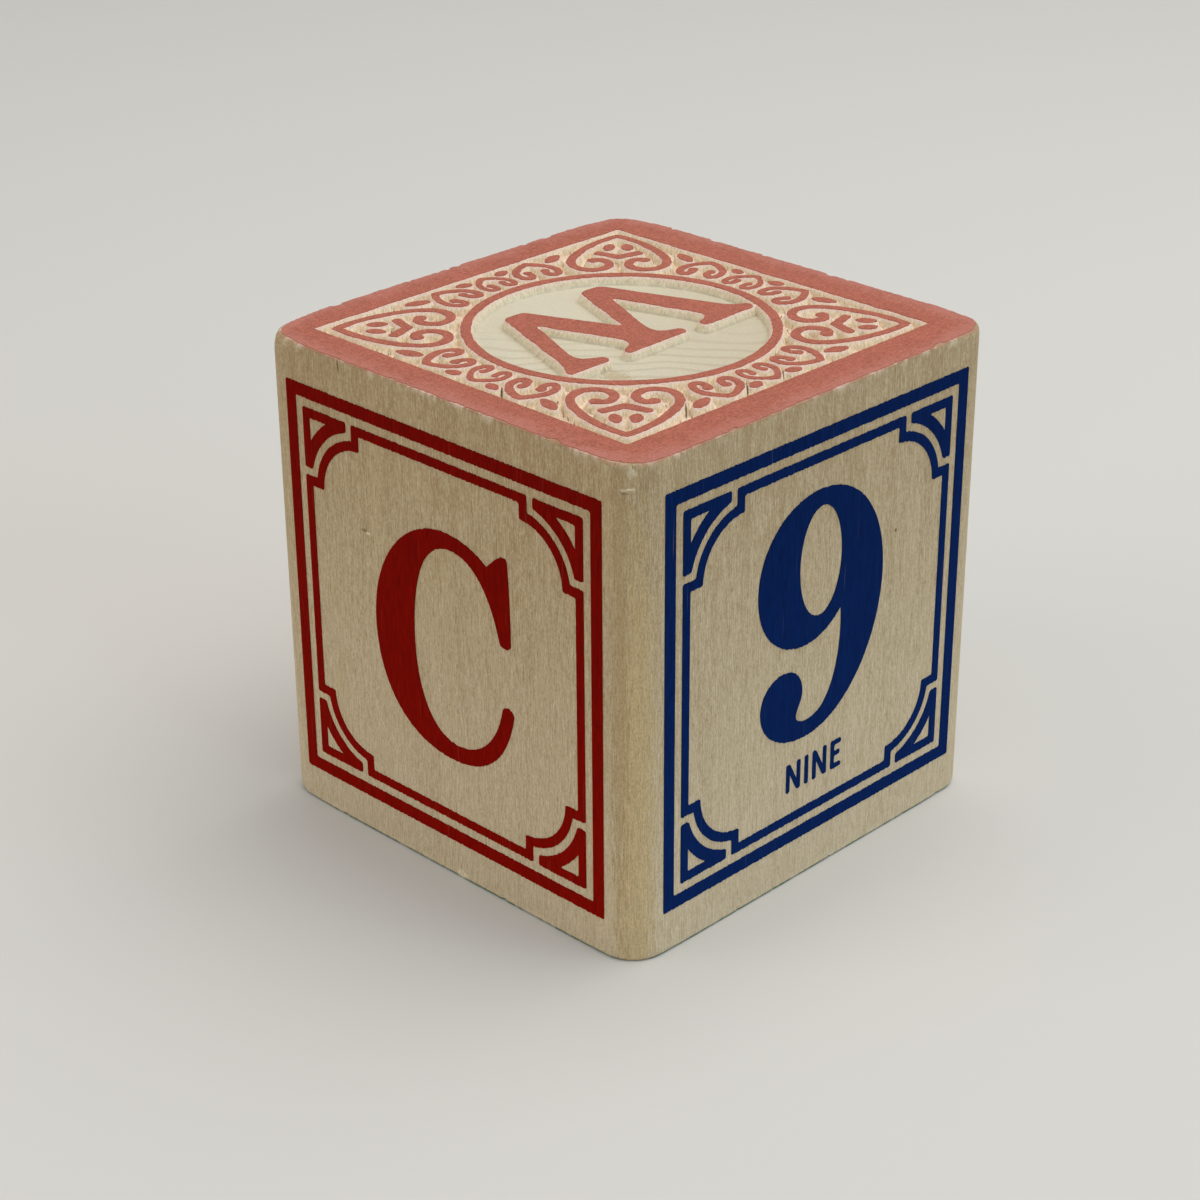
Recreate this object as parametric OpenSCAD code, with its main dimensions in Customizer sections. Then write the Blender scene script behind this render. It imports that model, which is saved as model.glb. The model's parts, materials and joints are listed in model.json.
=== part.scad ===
// Wooden alphabet block: a hardwood cube with rounded upright edges, four printed sides and two
// pressed ends whose raised lands are inked. Every dried ink film is a piece of its own.
// Frame: +Z up, origin at the middle of the underside, front towards -Y. Lengths are millimetres.

/* [Block] */
// Edge length of the bare wooden cube
block_edge = 44.45; // [38:0.05:60]
// Radius of the four upright edges
upright_edge_r = 3.2; // [0.5:0.1:3.4]

/* [Ink] */
// Thickness of a dried ink film
ink_film = 0.06; // [0.03:0.01:0.15]

/* [Printed frames] */
// Bare wood between a side's frame and the block's edges
frame_margin = 3.425; // [3.2:0.025:4.8]
// Width of the plain outer rule
outer_rule_w = 1.2; // [0.8:0.05:1.6]
// Bare gap between the two rules
rule_gap = 0.83; // [0.5:0.01:1.2]
// Width of the notched inner rule
inner_rule_w = 0.85; // [0.5:0.05:1.2]
// Side of the notch in each corner of the panel
corner_notch = 6.25; // [5.6:0.05:7]
// Radius of the round that fills most of a notch
corner_arc_r = 4.8; // [4:0.05:5.4]
// Bare gap between the inner rule and a corner bracket
bracket_gap = 0.7; // [0.4:0.05:1]
// Width of a bracket's two straight strokes
bracket_stroke_w = 0.85; // [0.5:0.05:1.1]
// Width of a bracket's curved stroke
bracket_arc_w = 1.1; // [0.7:0.05:1.4]
// How far the print on the right side sits above the middle
right_print_lift = 0.45; // [-0.6:0.05:0.6]

/* [Printed characters] */
// Bare panel above and below a flat-topped capital; round characters reach into it a little
letter_margin = 5.92; // [5.2:0.02:8]

/* [Pressed ends] */
// Depth that the ground is pressed below the inked lands
relief_depth = 0.8; // [0.4:0.05:1.5]
// Width of the flat border round a pressed end
border_w = 3.65; // [3.4:0.05:4.4]
// Width of the ornament band between the border and the ring, where they are nearest
ornament_band = 4.825; // [4.2:0.025:5.6]
// Width of the ring
ring_w = 0.9; // [0.6:0.05:1.2]
// Least gap between the letter's serifs and the ring
letter_gap = 0.3; // [0.2:0.05:1.5]
// Stroke width of a corner heart at its tip
scroll_tip_w = 0.75; // [0.5:0.05:0.95]
// Stroke width of a corner heart at its volutes, and of the chevron in it
scroll_w = 0.9; // [0.6:0.05:1]
// Diameter of the round end of a corner volute
scroll_end_d = 1.15; // [1:0.05:1.3]
// Shift of the pressed pattern on the top along X
top_shift_x = -0.35; // [-0.4:0.05:0.4]
// Shift of the pressed pattern on the top along Y
top_shift_y = -0.25; // [-0.4:0.05:0.4]

/* [Hidden] */
$fn = 64;

// Extra depth of a cut past the face that it opens
overrun = 0.5;

wood_colour = [0.83, 0.73, 0.55];
red_ink = [0.70, 0.07, 0.07];
blue_ink = [0.06, 0.15, 0.45];
green_ink = [0.13, 0.42, 0.26];
salmon_ink = [0.80, 0.42, 0.35];

block_half = block_edge / 2;
side_mid_z = ink_film + block_half;

// Turn of each printed side about the upright axis
front_turn = 0;
right_turn = 90;
back_turn = 180;
left_turn = 270;

// Printed frame, from the outside in, as half widths
frame_w = block_edge - 2 * frame_margin;
frame_half = frame_w / 2;
inner_rule_half = frame_half - outer_rule_w - rule_gap;
panel_half = inner_rule_half - inner_rule_w;
notch_at = panel_half - corner_notch;
bracket_at = notch_at + inner_rule_w + bracket_gap;
bracket_r = corner_arc_r + inner_rule_w + bracket_gap;
side_letter_h = 2 * (panel_half - letter_margin);

// Pressed end: the square pocket, the ring in it and the spaces left for ornament
pocket_half = block_half - border_w;
ring_r = pocket_half - ornament_band;
ring_inner_r = ring_r - ring_w;
letter_reach = ring_inner_r - letter_gap;
top_shift = [top_shift_x, top_shift_y];
no_shift = [0, 0];
corner_field = pocket_half - ring_r * sin(45);

// How far a corner heart reaches along the pocket's side, as a share of the corner field
corner_reach_share = 1.236;
// Three hearts stand on each side between the corner hearts
side_heart_count = 3;
heart_pitch = 2 * (pocket_half - corner_reach_share * corner_field) / side_heart_count;

// Longest step along a curve, as a share of what the curve is drawn in
glyph_step_share = 0.05;
corner_step_share = 0.07;
heart_step_share = 0.2;
min_steps = 3;

// Letter C: shares of the letter height from the panel's middle. A move is [end] or [handle, handle, end]
letter_c_start_share = [0.283, 0.448];
letter_c_shares = [
    [[0.230, 0.488], [0.145, 0.524], [0.040, 0.524]],
    [[-0.213, 0.524], [-0.418, 0.283], [-0.418, -0.015]],
    [[-0.418, -0.330], [-0.240, -0.535], [0.045, -0.535]],
    [[0.270, -0.535], [0.388, -0.405], [0.430, -0.188]],
    [[0.428, -0.153], [0.373, -0.150], [0.363, -0.173]],
    [[0.335, -0.330], [0.230, -0.457], [0.080, -0.457]],
    [[-0.085, -0.457], [-0.173, -0.270], [-0.173, -0.015]],
    [[-0.173, 0.265], [-0.095, 0.453], [0.070, 0.453]],
    [[0.215, 0.453], [0.308, 0.315], [0.355, 0.120]],
    [[0.360, 0.105], [0.413, 0.105], [0.418, 0.125]],
    [[0.420, 0.260], [0.413, 0.400], [0.405, 0.508]],
    [[0.403, 0.528], [0.370, 0.525], [0.353, 0.510]],
    [[0.330, 0.493], [0.300, 0.463], [0.283, 0.448]]
];

// Numeral 9: shares of the letter height from the panel's middle
numeral_9_start_share = [-0.015, 0.674];
numeral_9_shares = [
    [[0.230, 0.674], [0.410, 0.468], [0.410, 0.178]],
    [[0.410, -0.133], [0.210, -0.450], [-0.080, -0.450]],
    [[-0.250, -0.450], [-0.363, -0.353], [-0.363, -0.233]],
    [[-0.363, -0.153], [-0.295, -0.098], [-0.220, -0.098]],
    [[-0.145, -0.098], [-0.095, -0.153], [-0.095, -0.223]],
    [[-0.095, -0.268], [-0.130, -0.295], [-0.136, -0.328]],
    [[-0.140, -0.355], [-0.105, -0.375], [-0.060, -0.375]],
    [[0.080, -0.375], [0.143, -0.183], [0.143, 0.023]],
    [[0.138, 0.090]],
    [[0.085, 0.030], [0.000, -0.013], [-0.085, -0.013]],
    [[-0.260, -0.013], [-0.390, 0.123], [-0.390, 0.308]],
    [[-0.390, 0.518], [-0.230, 0.674], [-0.015, 0.674]]
];
numeral_9_counter_at_share = [0.000, 0.348];
numeral_9_counter_share = [0.133, 0.250];
// Middle of the numeral's own box, about which it turns into a 6
numeral_9_middle_share = [0.010, 0.112];

// Letter O: half width and half height of its outer and inner ovals
letter_o_outer_share = [0.460, 0.530];
letter_o_inner_share = [0.215, 0.455];

// Pressed letter W: shares of the letter's reach from the ring's middle
letter_w_start_share = [-0.884, 0.398];
letter_w_shares = [
    [[-0.418, 0.398]],
    [[-0.408, 0.386], [-0.408, 0.332], [-0.426, 0.323]],
    [[-0.502, 0.303], [-0.566, 0.271], [-0.562, 0.219]],
    [[-0.546, 0.155]],
    [[-0.371, -0.394]],
    [[-0.359, -0.434], [-0.339, -0.434], [-0.327, -0.394]],
    [[-0.108, 0.108]],
    [[-0.088, 0.159], [-0.080, 0.223], [-0.108, 0.259]],
    [[-0.135, 0.291], [-0.183, 0.295], [-0.235, 0.315]],
    [[-0.251, 0.343], [-0.247, 0.386], [-0.219, 0.398]],
    [[0.319, 0.400]],
    [[0.339, 0.390], [0.339, 0.347], [0.319, 0.335]],
    [[0.247, 0.303], [0.179, 0.279], [0.183, 0.219]],
    [[0.187, 0.183], [0.199, 0.143], [0.211, 0.108]],
    [[0.378, -0.371]],
    [[0.394, -0.418], [0.414, -0.418], [0.430, -0.371]],
    [[0.641, 0.147]],
    [[0.657, 0.191], [0.653, 0.239], [0.618, 0.267]],
    [[0.590, 0.291], [0.550, 0.307], [0.518, 0.323]],
    [[0.498, 0.347], [0.502, 0.390], [0.530, 0.402]],
    [[0.873, 0.406]],
    [[0.900, 0.394], [0.900, 0.359], [0.873, 0.339]],
    [[0.829, 0.295], [0.797, 0.231], [0.777, 0.171]],
    [[0.482, -0.633]],
    [[0.470, -0.665], [0.450, -0.677], [0.422, -0.677]],
    [[0.327, -0.677]],
    [[0.299, -0.677], [0.279, -0.665], [0.267, -0.633]],
    [[0.020, -0.040]],
    [[0.004, 0.000], [-0.012, 0.000], [-0.028, -0.040]],
    [[-0.259, -0.633]],
    [[-0.271, -0.665], [-0.291, -0.681], [-0.319, -0.681]],
    [[-0.426, -0.681]],
    [[-0.454, -0.681], [-0.474, -0.669], [-0.486, -0.637]],
    [[-0.785, 0.171]],
    [[-0.813, 0.247], [-0.861, 0.283], [-0.920, 0.303]],
    [[-0.948, 0.327], [-0.932, 0.394], [-0.884, 0.398]]
];
// The pressed letter stands with its top towards +X
letter_w_turn = -90;

// One lobe of a corner heart: shares of the corner field from the pocket's corner, tip first
corner_tip_share = [0.161, 0.161];
corner_lobe_shares = [
    [[0.121, 0.415], [0.179, 0.691], [0.276, 0.910]],
    [[0.340, 1.060], [0.449, 1.187], [0.588, 1.187]],
    [[0.697, 1.187], [0.789, 1.094], [0.789, 0.997]],
    [[0.789, 0.899], [0.714, 0.824], [0.622, 0.824]],
    [[0.565, 0.824], [0.530, 0.858], [0.530, 0.904]]
];
// The chevron between the volutes and the two seeds below it
chevron_shares = [[0.372, 0.712], [0.640, 0.640], [0.712, 0.372]];
seed_at_share = [0.360, 0.494];
seed_size_share = [0.226, 0.130];
seed_turn = 54;

// One lobe of a side heart: across as a share of its half width, up as a share of its length, tip first
heart_tip_share = [0, 0];
heart_lobe_shares = [
    [[0.42, 0.10], [0.88, 0.36], [0.96, 0.62]],
    [[1.00, 0.80], [0.86, 1.00], [0.66, 1.00]],
    [[0.46, 1.00], [0.35, 0.90], [0.36, 0.78]],
    [[0.365, 0.72], [0.38, 0.67], [0.42, 0.63]]
];
// Its stroke and the knob at a volute's end, as shares of its half width
heart_stroke_share = 0.35;
heart_knob_share = 0.44;
// Middle and leaning heart: half width as a share of the pitch, length as a share of the side band
mid_heart_share = [0.33, 0.64];
lean_heart_share = [0.40, 0.76];
heart_tip_up_share = 0.226;
lean_heart_at_share = 1.09;
lean_angle = 20;

// Leaves by the border: place along the side (of the pitch), height (of the band), length and width
inner_leaf_at_share = [0.45, 0.258];
inner_leaf_size_share = [0.333, 0.215];
inner_leaf_turn = -15;
outer_leaf_at_share = [1.624, 0.355];
outer_leaf_size_share = [0.530, 0.240];
outer_leaf_turn = -18;

// Point at t on the cubic curve from a to d with the handles b and c
function bezier(a, b, c, d, t) =
    a * pow(1 - t, 3) + 3 * b * t * pow(1 - t, 2) + 3 * c * t * t * (1 - t) + d * pow(t, 3);

// Points that one move adds after the point it starts from
function trace(from, move, step) =
    len(move) == 1 ? move :
    let (steps = max(min_steps, ceil(norm(move[2] - from) / step)))
    [for (k = [1 : steps]) bezier(from, move[0], move[1], move[2], k / steps)];

// Points of a whole path, the start first
function path(start, moves, step) =
    let (ends = concat([start], [for (m = moves) m[len(m) - 1]]))
    [start, for (i = [0 : len(moves) - 1]) each trace(ends[i], moves[i], step)];

// A closed outline: the last move ends on the start, so its point is left out
function outline(start, moves, step) =
    let (points = path(start, moves, step))
    [for (i = [0 : len(points) - 2]) points[i]];

function oval(r, count) =
    [for (k = [0 : count - 1]) let (angle = 360 * k / count) [r.x * cos(angle), r.y * sin(angle)]];
function swapped(points) = [for (p = points) [p.y, p.x]];
function mirrored(points) = [for (p = points) [-p.x, p.y]];
function stretched(points, sizes) = [for (p = points) [p.x * sizes.x, p.y * sizes.y]];
function reversed(points) = [for (i = [len(points) - 1 : -1 : 0]) points[i]];
function without_first(points) = [for (i = [1 : len(points) - 1]) points[i]];
function last(points) = points[len(points) - 1];

// Both lobes of a heart as one path, from one volute's end through the tip to the other's
function both_lobes(lobe, other) = concat(reversed(other), without_first(lobe));

// Step across a path at point i, lengthened at a bend so that the band keeps its width
function across(points, i) =
    let (
        a = max(i, 1),
        b = min(i, len(points) - 2),
        before = (points[a] - points[a - 1]) / norm(points[a] - points[a - 1]),
        after = (points[b + 1] - points[b]) / norm(points[b + 1] - points[b]),
        along = (before + after) / norm(before + after)
    )
    [-along.y, along.x] / (along * before);

// Outline of a band along a path, tip_w wide in the middle and end_w wide at both ends
function band(points, tip_w, end_w) =
    let (
        mid = (len(points) - 1) / 2,
        half_w = [for (i = [0 : len(points) - 1]) (tip_w + (end_w - tip_w) * abs(i - mid) / mid) / 2]
    )
    concat(
        [for (i = [0 : len(points) - 1]) points[i] - across(points, i) * half_w[i]],
        [for (i = [len(points) - 1 : -1 : 0]) points[i] + across(points, i) * half_w[i]]
    );

// Block outline from above, with its four rounded edges
module block_outline() {
    square([block_edge, block_edge - 2 * upright_edge_r], center = true);
    square([block_edge - 2 * upright_edge_r, block_edge], center = true);
    for (x = [-1, 1], y = [-1, 1])
        translate([x, y] * (block_half - upright_edge_r))
            circle(r = upright_edge_r);
}

// Square with a notch in each corner, from notch_start outwards, and a round in every notch
module notched_square(half, notch_start, round_r) {
    square([2 * half, 2 * notch_start], center = true);
    square([2 * notch_start, 2 * half], center = true);
    for (x = [-1, 1], y = [-1, 1])
        translate([x, y] * notch_at)
            circle(r = round_r);
}

module outer_rule() {
    difference() {
        square(frame_w, center = true);
        square(frame_w - 2 * outer_rule_w, center = true);
    }
}

module inner_rule() {
    difference() {
        notched_square(inner_rule_half, notch_at + inner_rule_w, corner_arc_r + inner_rule_w);
        notched_square(panel_half, notch_at, corner_arc_r);
    }
}

// Corner bracket in the corner towards +X +Y, with its small three-cornered hole
module corner_bracket() {
    difference() {
        translate([bracket_at, bracket_at])
            square(inner_rule_half - bracket_at);
        translate([notch_at, notch_at])
            circle(r = bracket_r);
        difference() {
            translate([notch_at, notch_at])
                square(inner_rule_half - bracket_stroke_w - notch_at);
            translate([notch_at, notch_at])
                circle(r = bracket_r + bracket_arc_w);
        }
    }
}

module corner_brackets() {
    for (turn = [0 : 90 : 270])
        rotate(turn)
            corner_bracket();
}

module letter_c() {
    polygon(side_letter_h * outline(letter_c_start_share, letter_c_shares, glyph_step_share));
}

module numeral_9() {
    difference() {
        polygon(side_letter_h * outline(numeral_9_start_share, numeral_9_shares, glyph_step_share));
        translate(side_letter_h * numeral_9_counter_at_share)
            polygon(oval(side_letter_h * numeral_9_counter_share, $fn));
    }
}

// A 6 is the 9 turned half round about its own middle
module numeral_6() {
    translate(2 * side_letter_h * numeral_9_middle_share)
        rotate(180)
            numeral_9();
}

module letter_o() {
    difference() {
        polygon(oval(side_letter_h * letter_o_outer_share, $fn));
        polygon(oval(side_letter_h * letter_o_inner_share, $fn));
    }
}

module ring() {
    difference() {
        circle(r = ring_r);
        circle(r = ring_inner_r);
    }
}

module letter_w() {
    rotate(letter_w_turn)
        polygon(letter_reach * outline(letter_w_start_share, letter_w_shares, glyph_step_share));
}

// Pointed leaf along X, between two arcs
module leaf(size) {
    arc_r = (size.x * size.x + size.y * size.y) / (4 * size.y);
    intersection() {
        translate([0, arc_r - size.y / 2])
            circle(r = arc_r);
        translate([0, size.y / 2 - arc_r])
            circle(r = arc_r);
    }
}

// Heart of one stroke whose two volutes end in round knobs
module scroll_heart(lobe, other, tip_w, end_w, knob_d) {
    polygon(band(both_lobes(lobe, other), tip_w, end_w));
    for (end = [last(lobe), last(other)])
        translate(end)
            circle(d = knob_d);
}

// Ornament of the pocket's corner at the origin: heart, chevron and seeds
module corner_ornament() {
    lobe = corner_field * path(corner_tip_share, corner_lobe_shares, corner_step_share);
    scroll_heart(lobe, swapped(lobe), scroll_tip_w, scroll_w, scroll_end_d);
    polygon(band(corner_field * chevron_shares, scroll_w, scroll_w));
    translate(corner_field * seed_at_share)
        rotate(seed_turn)
            leaf(corner_field * seed_size_share);
    translate(corner_field * [seed_at_share.y, seed_at_share.x])
        rotate(90 - seed_turn)
            leaf(corner_field * seed_size_share);
}

module corner_hearts() {
    for (turn = [0 : 90 : 270])
        rotate(turn)
            translate([-pocket_half, -pocket_half])
                corner_ornament();
}

// Heart on the pocket's side, its tip at the origin and its lobes towards +Y
module side_heart(size_share) {
    size = [size_share.x * heart_pitch, size_share.y * ornament_band];
    lobe = stretched(path(heart_tip_share, heart_lobe_shares, heart_step_share), size);
    stroke_w = heart_stroke_share * size.x;
    scroll_heart(lobe, mirrored(lobe), stroke_w, stroke_w, heart_knob_share * size.x);
}

module side_hearts() {
    for (turn = [0 : 90 : 270])
        rotate(turn)
            translate([0, heart_tip_up_share * ornament_band - pocket_half]) {
                side_heart(mid_heart_share);
                for (side = [-1, 1])
                    translate([side * lean_heart_at_share * heart_pitch, 0])
                        rotate(side * lean_angle)
                            side_heart(lean_heart_share);
            }
}

// Leaf beside the border on both halves of a side
module leaf_pair(at_share, size_share, turn) {
    for (side = [-1, 1])
        translate([side * at_share.x * heart_pitch, at_share.y * ornament_band - pocket_half])
            rotate(side * turn)
                leaf([size_share.x * heart_pitch, size_share.y * ornament_band]);
}

module leaves() {
    for (turn = [0 : 90 : 270])
        rotate(turn) {
            leaf_pair(inner_leaf_at_share, inner_leaf_size_share, inner_leaf_turn);
            leaf_pair(outer_leaf_at_share, outer_leaf_size_share, outer_leaf_turn);
        }
}

module border(shift) {
    difference() {
        block_outline();
        translate(shift)
            square(2 * pocket_half, center = true);
    }
}

// Ground that is pressed down: the pocket without its lands
module pressed_ground(shift) {
    translate(shift)
        difference() {
            square(2 * pocket_half, center = true);
            ring();
            letter_w();
            corner_hearts();
            side_hearts();
            leaves();
        }
}

// Ink film on an upright side
module on_side(turn, lift = 0) {
    rotate(turn)
        translate([0, -block_half, side_mid_z + lift])
            rotate([90, 0, 0])
                linear_extrude(ink_film)
                    children();
}

// Ink film on the pressed top
module on_top() {
    translate([0, 0, ink_film + block_edge])
        linear_extrude(ink_film)
            children();
}

// Ink film under the pressed bottom, drawn to be read from below
module on_bottom() {
    translate([0, 0, ink_film])
        rotate([180, 0, 0])
            linear_extrude(ink_film)
                children();
}

module wood_block() {
    color(wood_colour)
        translate([0, 0, ink_film])
            difference() {
                linear_extrude(block_edge)
                    block_outline();
                translate([0, 0, block_edge - relief_depth])
                    linear_extrude(relief_depth + overrun)
                        pressed_ground(top_shift);
                translate([0, 0, relief_depth])
                    rotate([180, 0, 0])
                        linear_extrude(relief_depth + overrun)
                            pressed_ground(no_shift);
            }
}

module front_print() {
    color(red_ink)
        on_side(front_turn)
            children();
}

module right_print() {
    color(blue_ink)
        on_side(right_turn, right_print_lift)
            children();
}

module back_print() {
    color(green_ink)
        on_side(back_turn)
            children();
}

module left_print() {
    color(red_ink)
        on_side(left_turn)
            children();
}

module top_ink() {
    color(salmon_ink)
        on_top()
            children();
}

module bottom_ink() {
    color(green_ink)
        on_bottom()
            children();
}

wood_block();

front_print() outer_rule();  // front_outer_rule
front_print() inner_rule();  // front_inner_rule
front_print() corner_brackets();  // front_corner_brackets
front_print() letter_c();  // front_letter_c

right_print() outer_rule();  // right_outer_rule
right_print() inner_rule();  // right_inner_rule
right_print() corner_brackets();  // right_corner_brackets
right_print() numeral_9();  // right_numeral_9

back_print() outer_rule();  // back_outer_rule
back_print() inner_rule();  // back_inner_rule
back_print() corner_brackets();  // back_corner_brackets
back_print() letter_o();  // back_letter_o

left_print() outer_rule();  // left_outer_rule
left_print() inner_rule();  // left_inner_rule
left_print() corner_brackets();  // left_corner_brackets
left_print() numeral_6();  // left_numeral_6

top_ink() border(top_shift);  // top_border
top_ink() translate(top_shift) ring();  // top_ring
top_ink() translate(top_shift) letter_w();  // top_letter_w
top_ink() translate(top_shift) corner_hearts();  // top_corner_hearts
top_ink() translate(top_shift) side_hearts();  // top_side_hearts
top_ink() translate(top_shift) leaves();  // top_leaves

bottom_ink() border(no_shift);  // bottom_border
bottom_ink() ring();  // bottom_ring
bottom_ink() letter_w();  // bottom_letter_w
bottom_ink() corner_hearts();  // bottom_corner_hearts
bottom_ink() side_hearts();  // bottom_side_hearts
bottom_ink() leaves();  // bottom_leaves
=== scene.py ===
"""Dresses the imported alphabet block: a hardwood cube with four printed sides and two pressed, inked ends.

The films of the frame give every print and every raised land its outline. Shapes are worked out in
millimetres and become metres when a mesh is made.
"""

import functools
import json
import math

import bpy
import numpy as np
from bpy.props import FloatProperty, FloatVectorProperty, PointerProperty
from mathutils import Color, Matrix, Quaternion, Vector, geometry, kdtree, noise


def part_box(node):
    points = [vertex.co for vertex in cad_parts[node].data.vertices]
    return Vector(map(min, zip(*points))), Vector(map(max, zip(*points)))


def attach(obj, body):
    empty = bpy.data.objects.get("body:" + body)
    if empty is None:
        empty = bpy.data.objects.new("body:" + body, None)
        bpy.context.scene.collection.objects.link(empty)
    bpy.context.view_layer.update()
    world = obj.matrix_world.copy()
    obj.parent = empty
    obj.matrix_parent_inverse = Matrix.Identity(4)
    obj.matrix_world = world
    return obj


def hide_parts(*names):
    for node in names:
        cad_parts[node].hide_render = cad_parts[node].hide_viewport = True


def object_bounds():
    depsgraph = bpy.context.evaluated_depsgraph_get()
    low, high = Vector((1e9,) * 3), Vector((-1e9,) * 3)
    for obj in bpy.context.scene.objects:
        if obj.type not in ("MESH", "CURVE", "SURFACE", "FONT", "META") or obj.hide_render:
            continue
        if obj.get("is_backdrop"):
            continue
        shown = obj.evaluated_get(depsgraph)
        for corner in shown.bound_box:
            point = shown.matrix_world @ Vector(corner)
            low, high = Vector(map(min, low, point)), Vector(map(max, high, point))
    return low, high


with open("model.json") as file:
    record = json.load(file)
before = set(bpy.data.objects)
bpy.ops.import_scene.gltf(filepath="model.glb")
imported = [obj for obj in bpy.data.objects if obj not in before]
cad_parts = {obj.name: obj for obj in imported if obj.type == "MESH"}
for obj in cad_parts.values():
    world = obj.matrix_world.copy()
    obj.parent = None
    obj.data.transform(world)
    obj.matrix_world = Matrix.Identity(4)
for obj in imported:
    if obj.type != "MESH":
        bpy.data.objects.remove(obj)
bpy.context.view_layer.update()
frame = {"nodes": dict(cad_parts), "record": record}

bl_info = {
    "name": "Alphabet block",
    "version": (1, 0, 0),
    "blender": (4, 5, 0),
    "location": "3D View > Sidebar > Block",
    "description": "Pressed, printed and inked wooden alphabet block",
    "category": "Add Mesh",
}

MM = 0.001

# Places closer than this, in millimetres, are one place
TOUCH = 1e-3
# Fewest points of a loop
FEWEST_POINTS = 6
# Pieces with smooth shading keep a crease where their faces meet at more than this
CREASE = math.radians(60)


def box_of(node):
    """Lowest and highest corner of a node, in millimetres."""
    return np.array(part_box(node)) / MM


# Sides of the block


class Side:
    """A face of the block, with places on it measured across and up from its middle."""

    def __init__(self, across, up):
        low, high = box_of("wood_block")
        self.across = np.array(across, float)
        self.up = np.array(up, float)
        self.out = np.cross(self.across, self.up)
        self.middle = (low + high) / 2 + self.out * ((high - low) @ abs(self.out)) / 2

    def flat(self, places):
        """Places in space as places on the face."""
        from_middle = places - self.middle
        return np.stack([from_middle @ self.across, from_middle @ self.up], axis=1)

    def placed(self, flat, height):
        """Places on the face, raised by height, as places in space."""
        raised = self.middle + np.outer(np.broadcast_to(height, len(flat)), self.out)
        return raised + np.outer(flat[:, 0], self.across) + np.outer(flat[:, 1], self.up)


SIDES = {
    "front": Side((1, 0, 0), (0, 0, 1)),
    "right": Side((0, 1, 0), (0, 0, 1)),
    "back": Side((-1, 0, 0), (0, 0, 1)),
    "left": Side((0, -1, 0), (0, 0, 1)),
    "top": Side((1, 0, 0), (0, 1, 0)),
    "bottom": Side((1, 0, 0), (0, -1, 0)),
}
PRINTED_SIDES = ("front", "right", "back", "left")
PRESSED_ENDS = ("bottom", "top")


def films_on(side_name):
    """The ink slot of every film on a side, by node."""
    parts = frame["record"]["subparts"]
    return {p["node"]: p["material_slot"] for p in parts if p["node"].split("_")[0] == side_name}


# Outlines


def area(loop):
    """Signed area of a closed loop, positive when it runs counter-clockwise."""
    after = np.roll(loop, -1, axis=0)
    return (loop[:, 0] @ after[:, 1] - loop[:, 1] @ after[:, 0]) / 2


def film_loops(node, side):
    """Closed outlines of a film's outer face, with the ink on the left of the way they run."""
    mesh = frame["nodes"][node].data
    mesh.calc_loop_triangles()
    places = np.array([vertex.co for vertex in mesh.vertices]) / MM
    triangles = np.array([triangle.vertices for triangle in mesh.loop_triangles])
    height = (places - side.middle) @ side.out
    outer = triangles[(height[triangles] > height.max() - TOUCH).all(axis=1)]
    flat = side.flat(places)
    keys = [tuple(key) for key in np.round(flat / TOUCH).astype(int)]
    point_of = dict(zip(keys, flat))
    edges = {(keys[a], keys[b]) for t in outer for a, b in zip(t, np.roll(t, -1))}
    following = {a: b for a, b in edges if (b, a) not in edges and a != b}
    loops = []
    while following:
        key = min(following)
        loop = []
        while key in following:
            loop.append(point_of[key])
            key = following.pop(key)
        loops.append(np.array(loop))
    return loops


def eased(loop, corner_cut, curve_cut=0.25, sharp_turn=math.radians(30), rounds=2):
    """Cuts the corners of a loop: chords of a curve freely, true corners by corner_cut at most."""
    for _ in range(rounds):
        before = loop - np.roll(loop, 1, axis=0)
        after = np.roll(loop, -1, axis=0) - loop
        length_before = np.hypot(*before.T)
        length_after = np.hypot(*after.T)
        cosine = (before * after).sum(axis=1) / (length_before * length_after)
        turn = np.arccos(np.clip(cosine, -1, 1))
        limit = np.where(turn > sharp_turn, corner_cut, curve_cut)
        cut = np.minimum(limit, np.minimum(length_before, length_after) / 4)[:, None]
        start = loop - before / length_before[:, None] * cut
        end = loop + after / length_after[:, None] * cut
        loop = np.stack([start, end], axis=1).reshape(-1, 2)
    return loop


def stepped(loop, step):
    """The same loop with points at even steps along it."""
    closed = np.vstack([loop, loop[:1]])
    lengths = np.concatenate([[0], np.cumsum(np.hypot(*np.diff(closed, axis=0).T))])
    count = max(FEWEST_POINTS, round(lengths[-1] / step))
    at = np.arange(count) * lengths[-1] / count
    return np.stack([np.interp(at, lengths, closed[:, axis]) for axis in (0, 1)], axis=1)


def normals(loop):
    """Unit normals on the right of the way a loop runs."""
    along = np.roll(loop, -1, axis=0) - np.roll(loop, 1, axis=0)
    along /= np.hypot(*along.T)[:, None]
    return np.stack([along[:, 1], -along[:, 0]], axis=1)


def wander(flat, pitch, seed):
    """Smooth noise from about -1 to 1 at each place, with swells about pitch wide."""
    return np.array([noise.noise(Vector((x / pitch, y / pitch, seed))) for x, y in flat])


def smooth(share):
    """Smooth step from 0 to 1."""
    share = np.clip(share, 0, 1)
    return share * share * (3 - 2 * share)


class Nearness:
    """Distances to the nearest of many points on a plane."""

    def __init__(self, points):
        self.tree = kdtree.KDTree(len(points))
        for index, (x, y) in enumerate(points):
            self.tree.insert((x, y, 0), index)
        self.tree.balance()

    def of(self, flat):
        """The distance from each place to its nearest point."""
        return np.array([self.tree.find((x, y, 0))[2] for x, y in flat])


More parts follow.
